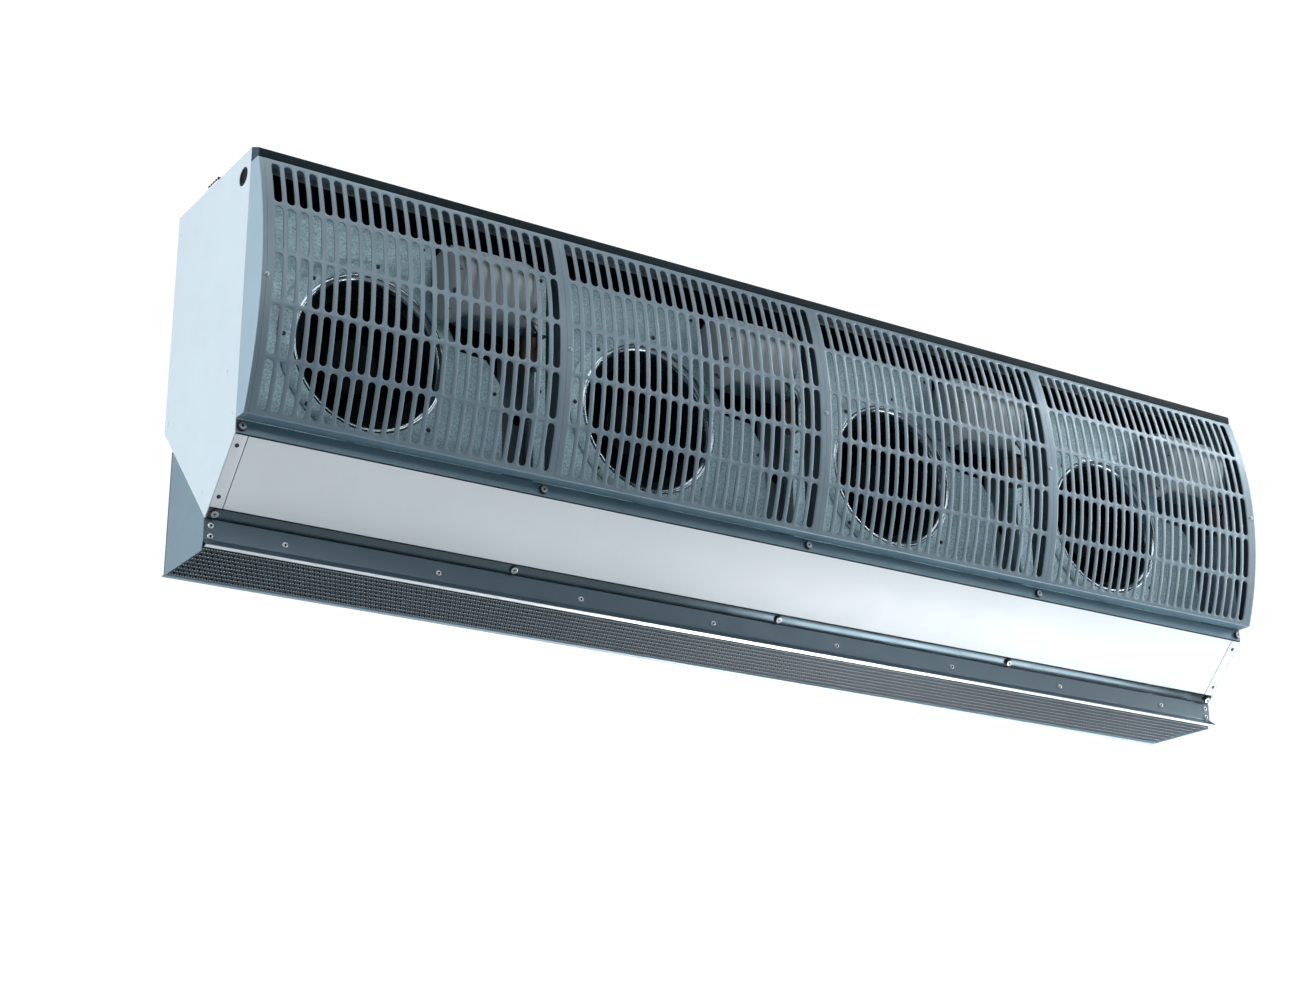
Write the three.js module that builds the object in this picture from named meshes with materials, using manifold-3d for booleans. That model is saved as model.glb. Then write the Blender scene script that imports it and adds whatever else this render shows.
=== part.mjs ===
// Air curtain: a long wall- or ceiling-hung casing with a bowed, slotted intake grille,
// four fan units behind it and a downward discharge nozzle. Millimetres, +X along the
// length, +Y into the wall, +Z up. Origin: centre of the back panel's outer face.
import * as THREE from 'three';
import { mergeVertices } from 'three/addons/utils/BufferGeometryUtils.js';
import Module from 'manifold-3d';

const wasm = await Module();
wasm.setup();

// ---- driving dimensions (x from the left end, y from the back plane, z from the outlet) ----
const LENGTH = 2000;          // over the side panels
const FRONT_Y = -275;         // front edge of the side panels
const TOP_Z = 594;            // top of the casing
const BACK_LOW_Z = 233.5;     // where the back panel turns into the rear bevel
const BEVEL_LOW = [-182.4, 47];     // lower end of the front bevel
const BEVEL_TOP_Z = 146.6;    // upper end of the front bevel
const SHEET = 1.5;            // sheet metal
const GAP = 0.3;              // running gap between pieces that touch
const CENTRE_Z = 414;         // height of the origin over the outlet

const GRILLE_CY = 235.2, GRILLE_CZ = 368.9, GRILLE_R = 571.4, GRILLE_HALF_ARC = 205;
const PANEL_W = 496, PANEL_X0 = 8;          // four grille panels
const SLOTS = 24, SLOT_PITCH = 20, SLOT_W = 12.8, SLOT_L = 73.6;
const ROWS = [160, 80, 0, -80, -160];       // slot rows, as arc lengths from mid height

const FANS = 4, FAN_PITCH = 495.75;
const RING_X = 216.6, RING_Z = 327;         // first fan's axis
const PLATE_Y = -245;                       // front face of the fan plates
const RING_R = 121, THROAT_R = 108, FLANGE_R = 149;
const WHEEL_R = 112, WHEEL_Y0 = -210.5, WHEEL_Y1 = -127, BLADES = 12;
const TONGUE_R = 122, SCROLL_R = 186;       // inner radii of the scroll at its tongue and its widest
const CHEEK_Y = -113;                       // rear cheek of the scroll
const DECK_Z = 152;                         // top of the fan deck
const CAN_X0 = 318, CAN_X1 = 472, CAN_Y = -262, CAN_Z = 465, CAN_R = 59;

// ---- helpers ----
function shapeOf(points, holes = []) {
  const s = new THREE.Shape(points.map(([a, b]) => new THREE.Vector2(a, b)));
  for (const h of holes) s.holes.push(new THREE.Path(h.map(([a, b]) => new THREE.Vector2(a, b))));
  return s;
}
function extrude(points, depth, holes) {
  return new THREE.ExtrudeGeometry(shapeOf(points, holes), { depth, bevelEnabled: false, steps: 1, curveSegments: 1 });
}
function remap(geo, fn) {
  const p = geo.attributes.position;
  for (let i = 0; i < p.count; i++) {
    const [x, y, z] = fn(p.getX(i), p.getY(i), p.getZ(i));
    p.setXYZ(i, x, y, z);
  }
  return geo;
}
const profileX = (pts, x0, x1, holes) => remap(extrude(pts, x1 - x0, holes), (a, b, c) => [x0 + c, a, b]);
const profileY = (pts, y0, y1, holes) => remap(extrude(pts, y1 - y0, holes), (a, b, c) => [a, y1 - c, b]);
const profileZ = (pts, z0, z1, holes) => remap(extrude(pts, z1 - z0, holes), (a, b, c) => [a, b, z0 + c]);
const rect = (a0, a1, b0, b1) => [[a0, b0], [a1, b0], [a1, b1], [a0, b1]];
const circle = (ca, cb, r, n, turn = 0) => Array.from({ length: n }, (_, i) => {
  const t = turn + (i / n) * Math.PI * 2;
  return [ca + r * Math.cos(t), cb + r * Math.sin(t)];
});
const box = (x0, x1, y0, y1, z0, z1) => profileZ(rect(x0, x1, y0, y1), z0, z1);

function clean(geo) {
  let g = geo.index ? geo.toNonIndexed() : geo.clone();
  g.deleteAttribute('normal');
  g.deleteAttribute('uv');
  return mergeVertices(g, 1e-4);
}
function volume(g) {
  const p = g.attributes.position, ix = g.index;
  let v = 0;
  const a = new THREE.Vector3(), b = new THREE.Vector3(), c = new THREE.Vector3();
  for (let i = 0; i < ix.count; i += 3) {
    a.fromBufferAttribute(p, ix.getX(i)); b.fromBufferAttribute(p, ix.getX(i + 1)); c.fromBufferAttribute(p, ix.getX(i + 2));
    v += a.dot(b.cross(c)) / 6;
  }
  return v;
}
function faceOut(geo) {
  const g = clean(geo);
  if (volume(g) < 0) {
    const ix = g.index;
    for (let i = 0; i < ix.count; i += 3) {
      const t = ix.getX(i); ix.setX(i, ix.getX(i + 1)); ix.setX(i + 1, t);
    }
  }
  return g;
}
function solid(geo) {
  const g = faceOut(geo);
  return new wasm.Manifold(new wasm.Mesh({
    numProp: 3,
    vertProperties: new Float32Array(g.attributes.position.array),
    triVerts: new Uint32Array(g.index.array),
  }));
}
function geometry(m) {
  const mesh = m.getMesh();
  const g = new THREE.BufferGeometry();
  g.setAttribute('position', new THREE.BufferAttribute(new Float32Array(mesh.vertProperties), 3));
  g.setIndex(new THREE.BufferAttribute(new Uint32Array(mesh.triVerts), 1));
  return g;
}
function union(first, ...rest) {
  let m = solid(first);
  for (const g of rest) m = m.add(solid(g));
  return geometry(m);
}
function minus(first, ...rest) {
  let m = solid(first);
  for (const g of rest) m = m.subtract(solid(g));
  return geometry(m);
}
function merge(list) {
  const pos = [], idx = [];
  let base = 0;
  for (const geo of list) {
    const g = faceOut(geo);
    pos.push(...g.attributes.position.array);
    for (const i of g.index.array) idx.push(i + base);
    base += g.attributes.position.count;
  }
  const out = new THREE.BufferGeometry();
  out.setAttribute('position', new THREE.Float32BufferAttribute(pos, 3));
  out.setIndex(idx);
  return out;
}
// An open path thickened to its left by t, with mitred corners.
function ribbon(path, t) {
  const n = path.length, off = [];
  const dir = (i) => {
    const dx = path[i + 1][0] - path[i][0], dy = path[i + 1][1] - path[i][1], l = Math.hypot(dx, dy);
    return [dx / l, dy / l];
  };
  for (let i = 0; i < n; i++) {
    const a = dir(Math.max(0, i - 1)), b = dir(Math.min(n - 2, i));
    const na = [-a[1], a[0]], nb = [-b[1], b[0]];
    const k = 1 + na[0] * nb[0] + na[1] * nb[1];
    off.push([path[i][0] + t * (na[0] + nb[0]) / k, path[i][1] + t * (na[1] + nb[1]) / k]);
  }
  return [...path, ...off.reverse()];
}
const sheetX = (path, t, x0, x1, holes) => profileX(ribbon(path, t), x0, x1, holes);
const latheY = (profile, n) => new THREE.LatheGeometry(profile.map(([r, h]) => new THREE.Vector2(r, h)), n);

const root = new THREE.Group();
root.name = 'air_curtain';
const local = new THREE.Group();
local.name = 'casing_frame';
local.position.set(-LENGTH / 2, 0, -CENTRE_Z);
root.add(local);

const PAINT = {
  side: [0xcfdde6, 0.45, 0.0], top: [0x9fb0bb, 0.5, 0.0], grille: [0x8797a5, 0.42, 0.1],
  rail: [0x26343f, 0.5, 0.0], lower: [0x5b6d7a, 0.45, 0.1], panel: [0xc3ccd4, 0.4, 0.1],
  nozzle: [0x6d808e, 0.4, 0.2], galv: [0x93a4a9, 0.45, 0.8], steel: [0xa9b4ba, 0.35, 0.9],
  dark: [0x20282c, 0.7, 0.1], can: [0xb4bcc0, 0.5, 0.2], brown: [0x4a2e1c, 0.5, 0.0],
  rubber: [0x0d0f10, 0.8, 0.0], alu: [0xb9c8d3, 0.35, 0.8],
};
function part(name, geo, paint) {
  const g = faceOut(geo);
  g.computeVertexNormals();
  const [color, roughness, metalness] = PAINT[paint];
  const mesh = new THREE.Mesh(g, new THREE.MeshStandardMaterial({ color, roughness, metalness }));
  mesh.name = name;
  local.add(mesh);
}

// ---- casing ----
const X0 = 1.8, X1 = LENGTH - 1.8;
const casing = [[FRONT_Y, TOP_Z], [0, TOP_Z], [0, BACK_LOW_Z], BEVEL_LOW, [FRONT_Y, BEVEL_TOP_Z]];
part('side_panel_left', profileX(casing, 0, SHEET, [circle(-249.3, 557, 15, 16)]), 'side');
part('side_panel_right', profileX(casing, LENGTH - SHEET, LENGTH), 'side');

part('top_panel', profileX([[FRONT_Y, TOP_Z], [-1.8, TOP_Z], [-1.8, TOP_Z - SHEET], [FRONT_Y + SHEET, TOP_Z - SHEET],
  [FRONT_Y + SHEET, 572], [FRONT_Y, 572]], X0, X1), 'top');
part('back_panel', sheetX([[-37.9, 194.75], [0, BACK_LOW_Z], [0, TOP_Z]], SHEET, X0, X1), 'top');

const railEnd = [[-275.4, 593.97], [-300, 583], [-300, 569.9], [-275.4, 569.9]];
part('top_rail', minus(profileX(railEnd, 0, LENGTH - 2),
  profileX([[-277, 560], [-277, 591.6], [-298.5, 582.03], [-298.5, 560]], SHEET, LENGTH - 2 - SHEET)), 'rail');

// ---- bowed intake grille: four panels and two end caps ----
const arc = (s) => {
  const t = s / GRILLE_R;
  return [GRILLE_CY - GRILLE_R * Math.cos(t), GRILLE_CZ + GRILLE_R * Math.sin(t)];
};
const knots = [GRILLE_HALF_ARC, 120, 40, -40, -120, -GRILLE_HALF_ARC];
const bow = knots.map(arc);
const grillePath = [[-275.3, bow[0][1]], ...bow, [-275.3, bow[5][1]]];
for (let k = 0; k < FANS; k++) {
  const x0 = PANEL_X0 + PANEL_W * k + 0.15, x1 = PANEL_X0 + PANEL_W * (k + 1) - 0.15;
  const first = (x0 + x1) / 2 - SLOT_PITCH * (SLOTS - 1) / 2;
  const cutters = [];
  ROWS.forEach((s, j) => {
    const a = bow[j], b = bow[j + 1], span = knots[j] - knots[j + 1], f = (knots[j] - s) / span;
    const c = [a[0] + (b[0] - a[0]) * f, a[1] + (b[1] - a[1]) * f];
    const l = Math.hypot(b[0] - a[0], b[1] - a[1]), u = [(b[0] - a[0]) / l, (b[1] - a[1]) / l], n = [-u[1], u[0]];
    const at = (p, q) => [c[0] + u[0] * p + n[0] * q, c[1] + u[1] * p + n[1] * q];
    const h = SLOT_L / 2;
    const quad = [at(-h, -5), at(h, -5), at(h, 6), at(-h, 6)];
    for (let i = 0; i < SLOTS; i++) {
      const x = first + SLOT_PITCH * i;
      cutters.push(profileX(quad, x - SLOT_W / 2, x + SLOT_W / 2));
    }
  });
  part(`grille_${k + 1}`, minus(sheetX(grillePath, SHEET, x0, x1), merge(cutters)), 'grille');
}
part('end_cap_left', union(sheetX(grillePath, SHEET, 0, PANEL_X0 - 0.15), profileX(grillePath, 0, SHEET)), 'grille');
part('end_cap_right', union(sheetX(grillePath, SHEET, LENGTH - PANEL_X0 + 0.15, LENGTH),
  profileX(grillePath, LENGTH - SHEET, LENGTH)), 'grille');

// ---- lower rail, front bevel and their bolts ----
const railBoltX = [9.65, 500, 1000, 1500, 1990.35], ledgeBoltX = [11.15, 500, 1000, 1500, 1988.85];
const HEAD_R = 7.3, SHANK_R = 3, BOLT_HOLE_R = 3.5;
const lowerRail = profileX([[FRONT_Y, 147], [FRONT_Y + SHEET, 147], [FRONT_Y + SHEET, 166.2], [-262, 166.2], [-262, 167.7],
  [FRONT_Y, 167.7]], X0, X1);
part('lower_rail', minus(lowerRail, merge(railBoltX.map((x) => profileY(circle(x, 156.8, BOLT_HOLE_R, 8), -280, -270)))), 'lower');
// a bolt along +Y from its head at y = 0, head forward
const panBolt = (x, z, depth) => [
  profileY(circle(x, z, HEAD_R, 10), -4.4, -GAP),
  profileY(circle(x, z, SHANK_R, 6), -1, depth),
];
const railBolts = [box(4, LENGTH - 4, 1.8, 5.8, 153.4, 160.6)];
for (const x of railBoltX) railBolts.push(...panBolt(x, 156.8, 4));
part('rail_bolts', remap(union(...railBolts), (x, y, z) => [x, y + FRONT_Y, z]), 'steel');

const bevelDir = (() => {
  const a = BEVEL_LOW[0] - FRONT_Y, b = BEVEL_LOW[1] - BEVEL_TOP_Z, l = Math.hypot(a, b);
  return [a / l, b / l];
})();
// (distance down the bevel, depth inwards) to (y, z)
const bevel = (s, d) => [FRONT_Y + bevelDir[0] * s - bevelDir[1] * d, BEVEL_TOP_Z + bevelDir[1] * s + bevelDir[0] * d];
const strip = (s0, s1, x0, x1) => profileX([bevel(s0, 0), bevel(s1, 0), bevel(s1, SHEET), bevel(s0, SHEET)], x0, x1);
const bevelHole = (x, s, r, n) => remap(profileY(circle(0, 0, r, n), -6, 8), (a, y, b) => {
  const [yy, zz] = bevel(s + b, y);
  return [x + a, yy, zz];
});
part('access_panel', strip(2.3, 118.5, 21.5, LENGTH - 21.5), 'panel');
part('end_strip_left', minus(strip(2.3, 118.5, X0, 21.2), bevelHole(9.5, 19, 3, 8), bevelHole(9.5, 100.5, 3, 8)), 'panel');
part('end_strip_right', minus(strip(2.3, 118.5, LENGTH - 21.2, X1), bevelHole(LENGTH - 9.5, 19, 3, 8),
  bevelHole(LENGTH - 9.5, 100.5, 3, 8)), 'panel');
part('ledge_strip', minus(strip(118.9, 135.5, X0, X1), ...ledgeBoltX.map((x) => bevelHole(x, 126.7, BOLT_HOLE_R, 8))), 'lower');
const ledgeBolts = [box(4, LENGTH - 4, 1.8, 5.8, -4.5, 5)];
for (const x of ledgeBoltX) ledgeBolts.push(...panBolt(x, 0, 4));
part('ledge_bolts', remap(union(...ledgeBolts), (x, y, z) => {
  const [yy, zz] = bevel(126.7 - z, y);
  return [x, yy, zz];
}), 'steel');

// ---- discharge nozzle ----
const rivets = [];
for (let i = 0; i < 8; i++) rivets.push([125 + 250 * i, 28.3]);
for (const x of [10, LENGTH - 10]) rivets.push([x, 37], [x, 21]);
part('nozzle_front', union(
  profileX([[-182.4, 46.4], [-182, 15], [-196.8, 4.3], [-187.5, 2.6], [-187.25, 4.07], [-193.08, 5.13], [-180.5, 14.23], [-180.9, 46.4]], 0, LENGTH),
  merge(rivets.map(([x, z]) => profileY(circle(x, z, 5.5, 8), -184.2, -181.6)))), 'nozzle');
part('nozzle_back', sheetX([[-30, 0], [-38.65, 0], [-38.65, 191.9]], -SHEET, 0, LENGTH), 'nozzle');
const nozzleEnd = [[-40.45, 0.2], [-40.45, 191.5], [-180.6, 48.1], [-180.1, 14.6], [-177.3, 3], [-177.3, 0.2]];
part('nozzle_end_left', profileX(nozzleEnd, 0, SHEET), 'nozzle');
part('nozzle_end_right', profileX(nozzleEnd, LENGTH - SHEET, LENGTH), 'nozzle');

const cells = [];
const GRID = [-177.3, -40.6, 8], gridPitch = (GRID[1] - GRID[0] - 1) / GRID[2], COLS = 4, colPitch = (X1 - X0 - 1) / COLS;
for (let i = 0; i < COLS; i++) {
  for (let j = 0; j < GRID[2]; j++) {
    cells.push(box(X0 + 1 + colPitch * i, X0 + colPitch * (i + 1), GRID[0] + 1 + gridPitch * j, GRID[0] + gridPitch * (j + 1), 0, 25));
  }
}
part('outlet_grid', minus(box(X0, X1, GRID[0], GRID[1], 2.6, 20), merge(cells)), 'alu');

// ---- inside: deck, duct, grommet, hangers ----
const mouths = [];
for (let k = 0; k < FANS; k++) {
  const cx = RING_X + FAN_PITCH * k;
  mouths.push(box(cx - 184, cx + 28, -241, -114.5, DECK_Z - 10, DECK_Z + 10));
}
part('fan_deck', minus(box(X0, X1, -273.2, -40.5, DECK_Z - SHEET, DECK_Z), merge(mouths)), 'galv');
// a crescent rib behind each seam of the grille panels, its front edge following the bow, hung on a bar along the top
const ribFront = ribbon(grillePath, 2.1).slice(grillePath.length + 1, -1);    // bottom to top
const ribOutline = [...ribFront, [-272.4, ribFront[5][1]], [-272.4, 583.6], [-248.9, 583.6], [-248.9, 562], [-272.4, 545],
  [-272.4, ribFront[0][1]]];
let ribFrame = box(4.5, LENGTH - 4.5, -250, -248.5, 573, 583);
for (let k = 1; k < FANS; k++) {
  const x = PANEL_X0 + PANEL_W * k;
  ribFrame = union(ribFrame, profileX(ribOutline, x - SHEET / 2, x + SHEET / 2));
}
part('rib_frame', ribFrame, 'galv');
const grommet = latheY([[10, 0], [14.4, 0], [14.4, 1.8], [18, 1.8], [18, 4.2], [10, 4.2], [10, 0]], 16);
part('cable_grommet', remap(grommet, (a, h, b) => [h, -249.3 + a, 557 + b]), 'rubber');
const comb = [[8, -96], [34, -96], [34, -138], [8, -138]];
for (let i = 0; i < 5; i++) {
  const y = -138 + 8.4 * i;
  comb.push([8, y + 1.8], [4, y + 1.8], [4, y + 6.6], [8, y + 6.6]);
}
const hanger = (flip) => {
  const at = ([x, y]) => [flip ? LENGTH - x : x, y];
  const foot = [[4, -138], [34, -138], [34, -96], [4, -96]].map(at);
  return union(profileZ(foot, 594.3, 600), profileZ(comb.map(at), 599.5, 608));
};
part('hanger_left', hanger(false), 'rubber');
part('hanger_right', hanger(true), 'rubber');

// ---- fan units ----
const spiralR = (deg) => TONGUE_R + (SCROLL_R - TONGUE_R) * Math.pow((deg + 75) / 255, 2.6);
for (let k = 0; k < FANS; k++) {
  const dx = FAN_PITCH * k, cx = RING_X + dx, id = k + 1;
  const at = (geo) => remap(geo, (x, y, z) => [x + cx, y, z + RING_Z]);

  part(`fan_plate_${id}`, minus(profileY([[5, 152.6], [444, 152.6], [444, 318], [414, 360], [345, 366], [345, 404], [316, 404], [316, 531], [5, 531]]
    .map(([x, z]) => [x + dx, z]), PLATE_Y, PLATE_Y + SHEET), profileY(circle(cx, RING_Z, RING_R + 3, 20), PLATE_Y - 9, PLATE_Y + 9)), 'galv');

  const bell = latheY([[FLANGE_R, -1.8], [RING_R, -1.8], [117, 1.2], [THROAT_R, 25], [THROAT_R + 1.5, 25],
    [118.4, 1.6], [RING_R + 0.4, -GAP], [FLANGE_R, -GAP], [FLANGE_R, -1.8]], 20);
  const ring = remap(bell, (x, h, z) => [x + cx, h + PLATE_Y, z + RING_Z]);
  part(`inlet_ring_${id}`, minus(ring, box(316 + dx, 400 + dx, -250, -243, 404, 500)), 'steel');

  const spiral = [];
  const tongue = -75, rad = Math.PI / 180;
  for (let i = 0; i <= 15; i++) {
    const d = tongue + 17 * i, r = spiralR(d);
    spiral.push([cx + r * Math.cos(d * rad), RING_Z + r * Math.sin(d * rad)]);
  }
  const wrapPath = [[spiral[0][0], DECK_Z + GAP], ...spiral, [spiral[15][0], DECK_Z + GAP]];
  const wrap = ribbon(wrapPath, -1.2);
  const outline = wrap.slice(wrapPath.length);
  part(`scroll_${id}`, union(profileY(wrap, PLATE_Y + SHEET + GAP, CHEEK_Y + SHEET), profileY(outline, CHEEK_Y, CHEEK_Y + SHEET)), 'galv');

  const hub = latheY([[0, -185], [45, -185], [45, WHEEL_Y1 - 1.5], [WHEEL_R, WHEEL_Y1 - 1.5], [WHEEL_R, WHEEL_Y1], [40, WHEEL_Y1],
    [40, -181], [5, -181], [5, -125], [0, -125]], 14);
  const rim = latheY([[97, WHEEL_Y0], [WHEEL_R, WHEEL_Y0], [WHEEL_R, WHEEL_Y0 + 1.6], [97, WHEEL_Y0 + 1.6], [97, WHEEL_Y0]], 14);
  const blades = [];
  for (let i = 0; i < BLADES; i++) {
    const t = (i / BLADES) * 2 * Math.PI, c = Math.cos(t), s = Math.sin(t);
    const turn = ([a, b]) => [a * c - b * s, a * s + b * c];
    blades.push(profileY([[93, -1], [108, 8], [108, 10], [93, 1]].map(turn), WHEEL_Y0 + 0.8, WHEEL_Y1 - 0.7));
  }
  part(`impeller_${id}`, at(union(hub, rim, merge(blades))), 'dark');
  part(`fan_motor_${id}`, at(latheY([[0, CHEEK_Y - GAP], [52, CHEEK_Y - GAP], [52, -120], [34, -120], [34, -178], [5.3, -178],
    [5.3, -123], [0, -123]], 14)), 'steel');

  part(`can_${id}`, remap(latheY([[0, CAN_X0], [46, CAN_X0], [CAN_R, CAN_X0 + 13], [CAN_R, CAN_X1 - 13],
    [46, CAN_X1], [0, CAN_X1]], 16), (a, h, b) => [h + dx, CAN_Y + a, CAN_Z + b]), 'can');
  part(`bracket_${id}`, union(box(496.8 + dx, 498.3 + dx, -249.5, -215, DECK_Z + 0.6, 531),
    minus(box(446 + dx, 498 + dx, -223.5, -222, DECK_Z + 0.6, 385), profileY(circle(481.5 + dx, 282.5, 8.5, 12), -230, -215)),
    box(352 + dx, 498 + dx, -287, -245.8, 404.2, 405.7)), 'galv');
  part(`capacitor_${id}`, profileZ(circle(480 + dx, -266, 16, 12), 353, 403.9), 'brown');
}

export default root;
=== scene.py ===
import math
import random
import bpy
import bmesh
from mathutils import Matrix, Vector


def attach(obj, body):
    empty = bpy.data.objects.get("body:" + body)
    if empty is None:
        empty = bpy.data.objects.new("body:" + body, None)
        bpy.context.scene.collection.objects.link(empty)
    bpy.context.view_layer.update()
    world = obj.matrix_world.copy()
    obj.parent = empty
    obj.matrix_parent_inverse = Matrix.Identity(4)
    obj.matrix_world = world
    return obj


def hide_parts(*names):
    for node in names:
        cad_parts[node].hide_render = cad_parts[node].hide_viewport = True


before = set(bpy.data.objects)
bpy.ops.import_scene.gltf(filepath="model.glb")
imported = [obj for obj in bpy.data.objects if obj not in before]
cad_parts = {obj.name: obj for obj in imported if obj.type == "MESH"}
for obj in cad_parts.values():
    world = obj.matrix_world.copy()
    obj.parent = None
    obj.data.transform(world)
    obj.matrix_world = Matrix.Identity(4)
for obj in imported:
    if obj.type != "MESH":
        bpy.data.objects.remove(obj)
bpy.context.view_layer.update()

CASING = "casing"
MM = 0.001


def to_frame(p):
    """Local millimetres (x from the left end, y from the back plane, z over the outlet) to the frame, in metres."""
    return ((p[0] - 1000.0) * MM, p[1] * MM, (p[2] - 414.0) * MM)


# ------------------------------------------------------------------ camera
RV = Vector((1.18918913, -0.36013062, 0.50112244))
R = Matrix.Rotation(RV.length, 3, RV.normalized())
cam_data = bpy.data.cameras.new("photo_camera")
cam_data.sensor_fit = "HORIZONTAL"
cam_data.sensor_width = 36.0
cam_data.lens = 2279.72 / 1305.0 * 36.0
cam_data.clip_start, cam_data.clip_end = 0.05, 100.0
cam = bpy.data.objects.new("photo_camera", cam_data)
bpy.context.scene.collection.objects.link(cam)
rot = Matrix((R[0], -R[1], -R[2])).transposed().to_4x4()
cam.matrix_world = Matrix.Translation((-2.146175, -3.077479, -1.423810)) @ rot
bpy.context.scene.camera = cam
bpy.context.scene.view_settings.view_transform = "Standard"


# ------------------------------------------------------------------ materials
def new_mat(name):
    m = bpy.data.materials.new(name)
    m.use_nodes = True
    nt = m.node_tree
    return m, nt, nt.nodes["Principled BSDF"]


def node(nt, kind, **values):
    n = nt.nodes.new(kind)
    for k, v in values.items():
        if k in n.inputs:
            n.inputs[k].default_value = v
        else:
            setattr(n, k, v)
    return n


def coords(nt):
    return node(nt, "ShaderNodeTexCoord").outputs["Object"]


def noise(nt, at, scale, detail=3.0, rough=0.55):
    n = node(nt, "ShaderNodeTexNoise", Scale=scale, Detail=detail, Roughness=rough)
    nt.links.new(at, n.inputs["Vector"])
    return n.outputs["Fac"]


def remap(nt, value, a, b, c, d):
    n = nt.nodes.new("ShaderNodeMapRange")
    n.inputs["From Min"].default_value, n.inputs["From Max"].default_value = a, b
    n.inputs["To Min"].default_value, n.inputs["To Max"].default_value = c, d
    nt.links.new(value, n.inputs["Value"])
    return n.outputs["Result"]


def mix(nt, fac, ca, cb):
    n = nt.nodes.new("ShaderNodeMix")
    n.data_type = "RGBA"
    nt.links.new(fac, n.inputs["Factor"])
    for sock, c in ((n.inputs[6], ca), (n.inputs[7], cb)):
        if isinstance(c, (tuple, list)):
            sock.default_value = (*c[:3], 1.0)
        else:
            nt.links.new(c, sock)
    return n.outputs[2]


def bump(nt, bsdf, height, strength, distance):
    n = node(nt, "ShaderNodeBump")
    n.inputs["Strength"].default_value = strength
    n.inputs["Distance"].default_value = distance
    nt.links.new(height, n.inputs["Height"])
    nt.links.new(n.outputs["Normal"], bsdf.inputs["Normal"])


def paint(name, col, rough=0.45, metal=0.0, var=0.05, peel=0.12, dust=0.0, spec=0.5):
    """Powder coat: a fine orange-peel skin, slow colour drift and a little dust in patches."""
    m, nt, b = new_mat(name)
    at = coords(nt)
    lo = [c * (1 - var) for c in col]
    hi = [min(1.0, c * (1 + var)) for c in col]
    c1 = mix(nt, remap(nt, noise(nt, at, 5.0, 4.0), 0.3, 0.7, 0.0, 1.0), lo, hi)
    if dust:
        c1 = mix(nt, remap(nt, noise(nt, at, 60.0, 5.0, 0.7), 0.55, 0.8, 0.0, dust), c1, (0.62, 0.66, 0.68))
    nt.links.new(c1, b.inputs["Base Color"])
    b.inputs["Metallic"].default_value = metal
    b.inputs["Specular IOR Level"].default_value = spec
    nt.links.new(remap(nt, noise(nt, at, 22.0, 3.0), 0.3, 0.7, rough - 0.05, rough + 0.07), b.inputs["Roughness"])
    bump(nt, b, noise(nt, at, 900.0, 2.0), peel, 0.00025)
    return m


def spangle(name, dark, light, rough=0.45, metal=0.35, scale=430.0, peak=0.93):
    """Hot-dip galvanised sheet: crystal flakes of different brightness with fine bright flecks."""
    m, nt, b = new_mat(name)
    at = coords(nt)
    flakes = node(nt, "ShaderNodeTexVoronoi", Scale=scale, Randomness=1.0)
    nt.links.new(at, flakes.inputs["Vector"])
    sep = nt.nodes.new("ShaderNodeSeparateColor")
    nt.links.new(flakes.outputs["Color"], sep.inputs["Color"])
    flecks = node(nt, "ShaderNodeTexVoronoi", Scale=scale * 2.3, Randomness=1.0)
    nt.links.new(at, flecks.inputs["Vector"])
    sep2 = nt.nodes.new("ShaderNodeSeparateColor")
    nt.links.new(flecks.outputs["Color"], sep2.inputs["Color"])
    base = mix(nt, sep.outputs["Red"], dark, light)
    bright = tuple(min(1.0, c * 1.35) for c in light)
    c1 = mix(nt, remap(nt, sep2.outputs["Green"], peak - 0.12, peak, 0.0, 0.6), base, bright)
    c2 = mix(nt, remap(nt, noise(nt, at, 9.0, 4.0), 0.35, 0.75, 0.0, 0.3), c1, dark)
    nt.links.new(c2, b.inputs["Base Color"])
    b.inputs["Metallic"].default_value = metal
    nt.links.new(remap(nt, sep.outputs["Blue"], 0.0, 1.0, rough - 0.14, rough + 0.16), b.inputs["Roughness"])
    bump(nt, b, flakes.outputs["Distance"], 0.12, 0.0003)
    return m


def metal(name, col, rough=0.3, grain=(1.0, 1.0, 1.0), metallic=0.9):
    """Bright metal with fine drawn marks."""
    m, nt, b = new_mat(name)
    at = coords(nt)
    mp = node(nt, "ShaderNodeMapping")
    mp.inputs["Scale"].default_value = grain
    nt.links.new(at, mp.inputs["Vector"])
    marks = noise(nt, mp.outputs["Vector"], 500.0, 3.0, 0.6)
    c = mix(nt, remap(nt, marks, 0.3, 0.7, 0.0, 1.0), [x * 0.86 for x in col], [min(1.0, x * 1.08) for x in col])
    nt.links.new(c, b.inputs["Base Color"])
    b.inputs["Metallic"].default_value = metallic
    nt.links.new(remap(nt, marks, 0.3, 0.7, rough - 0.06, rough + 0.1), b.inputs["Roughness"])
    bump(nt, b, marks, 0.05, 0.0001)
    return m


def dull(name, col, rough=0.8, scale=300.0, depth=0.0004, strength=0.4, var=0.25, spec=0.5):
    """Moulded plastic, rubber or foam."""
    m, nt, b = new_mat(name)
    at = coords(nt)
    g = noise(nt, at, scale, 4.0, 0.6)
    c = mix(nt, remap(nt, g, 0.3, 0.7, 0.0, 1.0), [x * (1 - var) for x in col], [x * (1 + var) for x in col])
    nt.links.new(c, b.inputs["Base Color"])
    b.inputs["Specular IOR Level"].default_value = spec
    nt.links.new(remap(nt, g, 0.3, 0.7, rough - 0.08, min(1.0, rough + 0.08)), b.inputs["Roughness"])
    bump(nt, b, g, strength, depth)
    return m


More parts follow.
